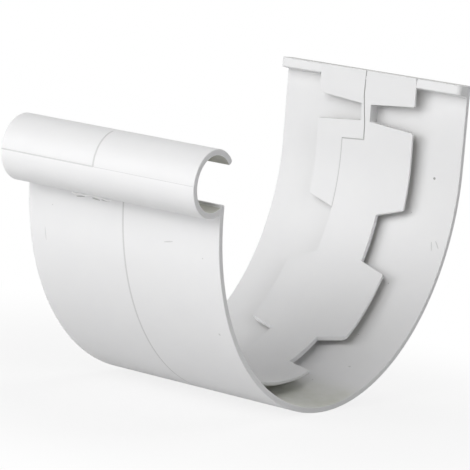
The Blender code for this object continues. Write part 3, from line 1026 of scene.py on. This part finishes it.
for material in (smooth_shaded_upvc, hollow_shade_upvc, top_shade_upvc):
    moulding.data.materials.append(material)
for face in moulding.data.polygons:
    skin = skin_of(face) if moulding.data.materials[face.material_index] == satin_upvc else None
    if skin:
        face.material_index = moulding.data.materials.find(skin.name)
for index, material in enumerate(moulding.data.materials):
    count = sum(1 for face in moulding.data.polygons if face.material_index == index)
    print(index, material.name, count, "faces")

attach(moulding, "root")
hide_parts("gutter_union")

# %% [markdown]
# ## Floor and backdrop
#
# The photograph has a plain white ground. The floor is a round sheet under the part that is an
# ordinary pale diffuse for all light that bounces, so that it lights the underside. To the camera,
# and in reflections, it is mostly plain white with a part of the diffuse left in, which keeps a soft
# shadow under the part. Away from the part it turns to pure white, as the world behind it is.

# %% Floor
FLOOR_RADIUS = 1.5

paper = plain_material("white_paper_sweep")
floor_mesh = bmesh.new()
bmesh.ops.create_circle(floor_mesh, cap_ends=True, segments=96, radius=FLOOR_RADIUS)
floor = keep_as_object(floor_mesh, "floor", paper)
floor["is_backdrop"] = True

# %% Paper of the floor
FLOOR_PAPER = "E6E6E6"
SHADOW_FROM, SHADOW_REACH = 0.05, 0.17  # metres from the middle, between which the shadow fades
SHADOW_SHARE = 0.17  # share of the diffuse paper that the camera sees
PURE_WHITE = (1.0, 1.0, 1.0, 1.0)


def seen_plainly(tree_owner):
    """The light path of rays that show the backdrop: 1 for camera, glossy and transmission rays."""
    path = add_node(tree_owner, "ShaderNodeLightPath", {}, {})
    both = add_node(tree_owner, "ShaderNodeMath", {"operation": "MAXIMUM"},
                    {0: (path, "Is Camera Ray"), 1: (path, "Is Glossy Ray")})
    return add_node(tree_owner, "ShaderNodeMath", {"operation": "MAXIMUM"},
                    {0: (both, "Value"), 1: (path, "Is Transmission Ray")})


paper.node_tree.nodes.clear()
where = add_node(paper, "ShaderNodeTexCoord", {}, {})
far = add_node(paper, "ShaderNodeVectorMath", {"operation": "LENGTH"}, {0: (where, "Object")})
away = add_node(paper, "ShaderNodeMapRange",
                {"interpolation_type": "SMOOTHSTEP", "From Min": SHADOW_FROM,
                 "From Max": SHADOW_REACH, "To Min": 1.0 - SHADOW_SHARE, "To Max": 1.0},
                {"Value": (far, "Value")})
shown = seen_plainly(paper)
plain = add_node(paper, "ShaderNodeMath", {"operation": "MULTIPLY"},
                 {0: (shown, "Value"), 1: (away, "Result")})
diffuse = add_node(paper, "ShaderNodeBsdfDiffuse", {"Color": linear(FLOOR_PAPER)}, {})
white = add_node(paper, "ShaderNodeEmission", {"Color": PURE_WHITE, "Strength": 1.0}, {})
sheet = add_node(paper, "ShaderNodeMixShader", {},
                 {0: (plain, "Value"), 1: (diffuse, "BSDF"), 2: (white, "Emission")})
add_node(paper, "ShaderNodeOutputMaterial", {}, {"Surface": (sheet, "Shader")})
print(paper.name, len(paper.node_tree.nodes), "nodes")

# %% World
WORLD_LEVEL = 0.04

world = bpy.data.worlds.new("studio")
world.use_nodes = True
world.node_tree.nodes.clear()
bpy.context.scene.world = world
shown = seen_plainly(world)
level = add_node(world, "ShaderNodeMapRange", {"To Min": WORLD_LEVEL, "To Max": 1.0},
                 {"Value": (shown, "Value")})
sky = add_node(world, "ShaderNodeBackground", {"Color": PURE_WHITE}, {"Strength": (level, "Result")})
add_node(world, "ShaderNodeOutputWorld", {}, {"Surface": (sky, "Background")})
print(world.name, len(world.node_tree.nodes), "nodes")

# %% [markdown]
# ## Lamps
#
# The light in the photograph is large and soft. It comes mostly from the front and a little from
# the left, low down, and the end faces on the right are far darker than the front. So the lamp at
# the near end is weak. Two lamps behind the part light what the front ones can't: the low one its
# back, and the high one the bottom of the trough and the inside of the front wall. Each is a square
# area lamp that looks at the middle of the part from a distance of about a metre.

# %% Area lamps
AIM = Vector((0.0, 0.0, 0.048))
LAMP_DISTANCE = 0.9
LAMP_SIZE = 0.5
# each lamp: name, azimuth, elevation, power in watts
LAMPS = [
    ("front_high", 0.0, 30.0, 3.8),
    ("front_left", -30.0, 8.0, 3.5),
    ("near_end", 66.0, 21.0, 1.25),
    ("behind_low", 180.0, 8.0, 2.5),
    ("behind_high", 180.0, 60.0, 2.6),
]


def way_to(azimuth, elevation):
    """The direction from the part to a place around it; azimuth 0 is the front, 90 the near end."""
    turn, lift = math.radians(azimuth), math.radians(elevation)
    return Vector((math.sin(turn) * math.cos(lift), -math.cos(turn) * math.cos(lift), math.sin(lift)))


def add_lamp(name, azimuth, elevation, power):
    """A square lamp that looks at the part."""
    towards = way_to(azimuth, elevation)
    data = bpy.data.lights.new(name, "AREA")
    data.shape, data.size, data.energy = "SQUARE", LAMP_SIZE, power
    lamp = add_object(name, data)
    turned = towards.to_track_quat("Z", "Y").to_matrix().to_4x4()
    lamp.matrix_world = Matrix.Translation(AIM + LAMP_DISTANCE * towards) @ turned
    print(name, "at", [round(value, 3) for value in lamp.matrix_world.translation], "power", power)


for lamp_row in LAMPS:
    add_lamp(*lamp_row)

# %% [markdown]
# ## Camera
#
# The camera was fitted to the outlines in the photograph: where the corners of both ends and the
# lowest line of the half round fall in the picture. It stands to the right of the front, a little
# above, and is rolled, because the part lay rolled back when it was photographed while here it
# stands level.

# %% Camera and view
CAMERA_PLACE = Vector((0.41154, -0.61917, 0.13623))
CAMERA_AZIMUTH = 33.611
CAMERA_ELEVATION = 6.914
CAMERA_ROLL = 7.371
CAMERA_LENS = 198.6
CAMERA_SENSOR = 36.0

roll = math.radians(CAMERA_ROLL)
backwards = way_to(CAMERA_AZIMUTH, CAMERA_ELEVATION)
level_right = (-backwards).cross(Vector(ALONG_Z)).normalized()
level_up = level_right.cross(-backwards)
right = math.cos(roll) * level_right + math.sin(roll) * level_up
up = -math.sin(roll) * level_right + math.cos(roll) * level_up

camera_data = bpy.data.cameras.new("camera")
camera_data.lens, camera_data.sensor_width = CAMERA_LENS, CAMERA_SENSOR
camera = add_object("camera", camera_data)
turned = Matrix((right, up, backwards)).transposed().to_4x4()
camera.matrix_world = Matrix.Translation(CAMERA_PLACE) @ turned
bpy.context.scene.camera = camera
bpy.context.scene.view_settings.view_transform = "Standard"
print("camera at", [round(value, 4) for value in camera.matrix_world.translation])

# %% [markdown]
# ## The moulding against the CAD part
#
# The finished moulding stands for the CAD part, so it has to fill the same box and stay inside it.
# Both boxes are printed, so that they can be compared.

# %% Sizes against the CAD part, and the end
visual_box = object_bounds()
say_box("visual box", visual_box)
